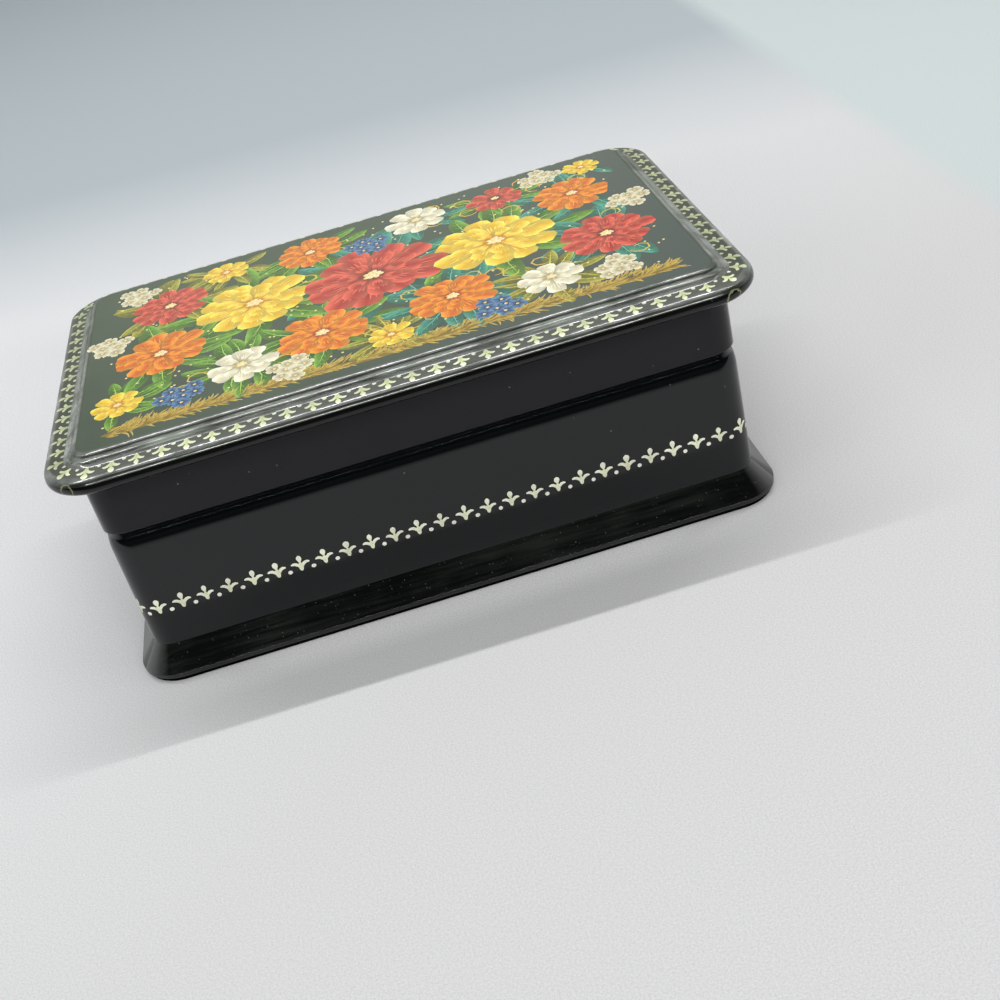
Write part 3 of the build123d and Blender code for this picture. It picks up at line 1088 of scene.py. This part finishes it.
# %% Painter's tools
picture = {"leaves": [], "blossoms": [], "sprigs": []}
laid = {"strokes": 0}
turf_layer, leaf_layer = (0.0005, 0.0015), (0.002, 0.03)
petal_layer, ring_lift = (0.034, 0.042), 0.014
posy_layer, seed_layer = (0.074, 0.082), (0.084, 0.09)
curl_layer = (0.031, 0.033)
line_lift = 0.0006
golden_share, golden_angle = 0.618034, 2.4


def heights(layer, count):
    """Heights for new strokes: the n-th stroke of the picture lies at the part of n times the golden
    share after the point, from the layer's foot to its top, so no two are alike."""
    number = laid["strokes"] + np.arange(count)
    laid["strokes"] += count
    return layer[0] + (layer[1] - layer[0]) * np.mod(golden_share * number, 1)


def brush(where, level, root, heading, length, width, colours, edge=0.5, lean_to=0.0, **shape):
    """Adds strokes to one part of the picture at their heights."""
    points, s, t = strokes(root, heading, length, width, **shape)
    tints = shade(points, s, t, *colours, edge=edge, lean_to=lean_to)
    picture[where].append(slabs(points, level, tints))


def dots(layer, places, size, colours):
    """Small round touches of the brush."""
    level = heights(layer, len(places))
    root = places - [size / 2, 0]
    brush("blossoms", level, root, 0.0, size, 0.94 * size, colours, shape=(0.5, 0.5), steps=5)


def blossom(place, radius, tones, rings):
    """A full flower: rings of petals from the outside in, fine light lines on each, and stamens.
    A petal is a stroke that widens to its tip, so its width peaks late."""
    fair, glow = tones[1:]
    petal = {"edge": 0.75, "lean_to": 0.6, "shape": (0.9, 0.26)}
    line = {"shape": (0.6, 0.9), "steps": 5}
    for number, (petals, reach, breadth) in enumerate(rings):
        level = heights(petal_layer, petals) + ring_lift * number
        angle = 0.6 * number + np.arange(petals) * 2 * np.pi / petals + rng.normal(0, 0.06, petals)
        length = reach * radius * rng.normal(1, 0.05, petals)
        sway = rng.normal(0, 0.15, petals)
        root = place + ray(angle, 0.04 * radius)
        brush("blossoms", level, root, angle, length, breadth * radius, tones, bend=sway, **petal)
        for lift, aside in enumerate((-0.2, -0.05, 0.1, 0.22), start=1):
            start = place + ray(angle + 0.8 * aside, 0.42 * length)
            run = 0.45 * length * rng.uniform(0.7, 1.05, petals)
            above = level + line_lift * lift / 2
            brush("blossoms", above, start, angle + aside, run, 0.04 * radius, (fair, glow, glow), **line)
    number = np.arange(14)
    seeds = place + ray(golden_angle * number, 0.035 * radius * np.sqrt(number))
    dots(seed_layer, seeds, 0.09 * radius, (gold, cream, cream))


def leaves(root, heading, length, breadth, tones, bend):
    """Leaves with a light middle vein and pairs of side veins that start along it."""
    fair, glow = tones[1:]
    leaf = {"edge": 0.5, "lean_to": 1.0, "shape": (0.7, 0.75)}
    level = heights(leaf_layer, len(root))
    brush("leaves", level, root, heading, length, breadth, tones, bend=bend, **leaf)
    vein = {"shape": (0.3, 0.8), "steps": 5}
    above = level + line_lift
    brush("leaves", above, root, heading, 0.92 * length, 0.28, [glow] * 3, bend=bend, **vein)
    middle, s, _ = strokes(root, heading, length, 0.0, bend=bend, steps=9, across=1)
    twig = {"shape": (0.4, 0.9), "steps": 4}
    for step in (2, 3, 4, 5, 6):
        for side in (-1, 1):
            aim = heading + bend * s[step, 0] + side * 0.75
            size = 0.36 * breadth * np.sin(np.pi * s[step, 0])
            above = level + line_lift / 2
            start = middle[:, step, 0]
            brush("leaves", above, start, aim, size, 0.16, (fair, glow, glow), bend=-side * 0.5, **twig)


def posy(place, spread, count, tones):
    """A cluster of five-petalled small flowers, spread by the golden angle."""
    number = np.arange(count)
    spots = place + ray(golden_angle * number + place[0], spread * np.sqrt((number + 0.2) / count))
    for petal in range(5):
        angle = petal * 2 * np.pi / 5 + number
        root = spots + ray(angle, 0.2)
        level = heights(posy_layer, count)
        brush("blossoms", level, root, angle, 1.9, 1.75, tones, edge=0.6, shape=(0.8, 0.3), steps=5)
    dots(seed_layer, spots, 0.75, (cream, gold, gold))


print("painter's tools ready")

# %% [markdown]
# ## Painting the bouquet
# Each flower has a place, a radius, three tones from deep to light, and its rings of petals. Its leaves
# go under it first, and a leaf that would leave the field isn't painted. Posies fill the gaps.

# %% Paint the bouquet
crimson = (srgb(66, 4, 12), srgb(186, 26, 34), srgb(240, 118, 92))
yellow = (srgb(176, 96, 4), srgb(240, 192, 16), srgb(252, 234, 110))
orange = (srgb(132, 30, 2), srgb(222, 96, 6), srgb(250, 176, 48))
blue = (srgb(10, 26, 70), srgb(48, 92, 156), srgb(150, 196, 226))
white = (srgb(150, 136, 96), srgb(236, 226, 188), srgb(252, 250, 236))
teal = (srgb(4, 44, 42), srgb(28, 122, 106), srgb(112, 190, 164))
green = (srgb(12, 42, 8), srgb(70, 132, 34), srgb(170, 206, 84))
olive = (srgb(44, 44, 4), srgb(138, 136, 28), srgb(216, 206, 98))
ochre = (srgb(132, 104, 26), srgb(204, 170, 70), srgb(240, 222, 140))
gold, cream = srgb(236, 196, 84), srgb(252, 244, 206)

full = ((11, 1.0, 0.5), (9, 0.74, 0.42), (7, 0.48, 0.32))
light = ((8, 1.0, 0.6), (7, 0.66, 0.44))
field_reach = (64.5, 39.5)
spokes = 12
flowers = [
    ((0, 5), 15.5, crimson, full),
    ((-28, 9), 13.0, yellow, full),
    ((29, 4), 13.5, yellow, full),
    ((-14, -18), 10.0, orange, full),
    ((15, -19), 9.5, orange, full),
    ((-50, -4), 10.0, orange, full),
    ((52, -10), 10.0, crimson, full),
    ((-48, 22), 9.0, crimson, full),
    ((51, 19), 9.0, orange, full),
    ((-32, -22), 7.5, white, light),
    ((36, -24), 7.0, white, light),
    ((-13, 30), 8.0, orange, full),
    ((14, 31), 7.5, white, light),
    ((0, -29), 5.0, yellow, light),
    ((-59, -24), 5.5, yellow, light),
    ((57, 34), 4.5, yellow, light),
    ((-34, 33), 5.5, yellow, light),
    ((34, 30), 6.5, crimson, light),
]
for place, radius, tones, rings in flowers:
    place = np.array(place)
    aim = np.arange(spokes) * 2 * np.pi / spokes + rng.normal(0, 0.15, spokes)
    size = radius * rng.uniform(0.65, 0.95, spokes) + 4.5
    pick = [teal, green, olive][int(rng.integers(3))]
    root = place + ray(aim, 0.55 * radius)
    keep = (np.abs(root + ray(aim, size)) < field_reach).all(1)
    leaves(root[keep], aim[keep], size[keep], 0.36 * size[keep], pick, rng.normal(0, 0.5, keep.sum()))
    blossom(place, radius, tones, rings)
gaps = [(-62, 8), (62, 6), (-56, 34), (46, 35), (-45, -28), (50, -28), (1, 24), (-22, -31), (23, -31)]
for place in gaps:
    posy(np.array(place), spread=4.6, count=8, tones=blue if place[0] % 2 else white)
print("bouquet of", len(flowers), "flowers,", laid["strokes"], "strokes in layers")

# %% [markdown]
# ## Painting the bank and the sprigs
# A few long strokes of turf and many short blades make the bank. The blades below its middle lie along
# it, and the others stand up. Thin curls and grains of gold lie between the flowers. Then each part of
# the picture becomes one piece.

# %% Paint the sprigs
bank_middle = -36.6
clods = np.arange(11)


def scatter(count, across, along):
    """Places spread by chance over a rectangle."""
    return np.stack([rng.uniform(*across, count), rng.uniform(*along, count)], 1)


ground = np.stack([np.linspace(-62, 39, len(clods)), -36.4 + 0.7 * np.sin(clods)], 1)
turf = {"heading": 0.0, "length": 22.0, "width": 2.2, "shape": (0.4, 0.4), "steps": 12, "across": 5}
turf_level = heights(turf_layer, len(clods))
brush("sprigs", turf_level, ground, colours=[ochre[0]] * 3, edge=0.3, **turf)
blades = 900
blade_root = scatter(blades, (-61, 60), (-37.4, -34.2))
lower = blade_root[:, 1] < bank_middle
blade_aim = np.where(lower, -0.25, 0.8) + rng.normal(0, 0.35, blades)
blade_length = rng.uniform(1.6, 3.8, blades)
blade_tones = (srgb(146, 116, 32), srgb(216, 182, 76), srgb(246, 230, 150))
blade = {"width": 0.42, "bend": rng.normal(0, 0.4, blades), "shape": (0.4, 0.9), "steps": 5}
blade_level = heights(leaf_layer, blades)
brush("sprigs", blade_level, blade_root, blade_aim, blade_length, colours=blade_tones, edge=0.3, **blade)
curls = 44
curl_root = scatter(curls, (-60, 60), (-28, 35))
curl_aim = rng.uniform(0, 2 * np.pi, curls)
curl_way = np.sign(rng.normal(0, 1, curls))
curl_turn = {"bend": 4.0 * curl_way, "curl": 1.6 * curl_way}
curl = {"length": 11.0, "width": 0.42, "shape": (0.3, 0.5), "steps": 9, **curl_turn}
curl_level = heights(curl_layer, curls)
brush("sprigs", curl_level, curl_root, curl_aim, colours=(ochre[1], gold, gold), **curl)
grains = 260
dots(curl_layer, scatter(grains, (-62, 62), (-33, 38)), 0.6, (gold, cream, cream))

for name, parts in picture.items():
    points, faces, tints = join(parts)
    points[:, 2] += field_height
    piece = put_piece("painted_" + name, points, faces, "lid", [picture_paint])
    mark_paint(piece, tints)
    print(piece.name, len(faces), "faces, top", round(points[:, 2].max(), 3))
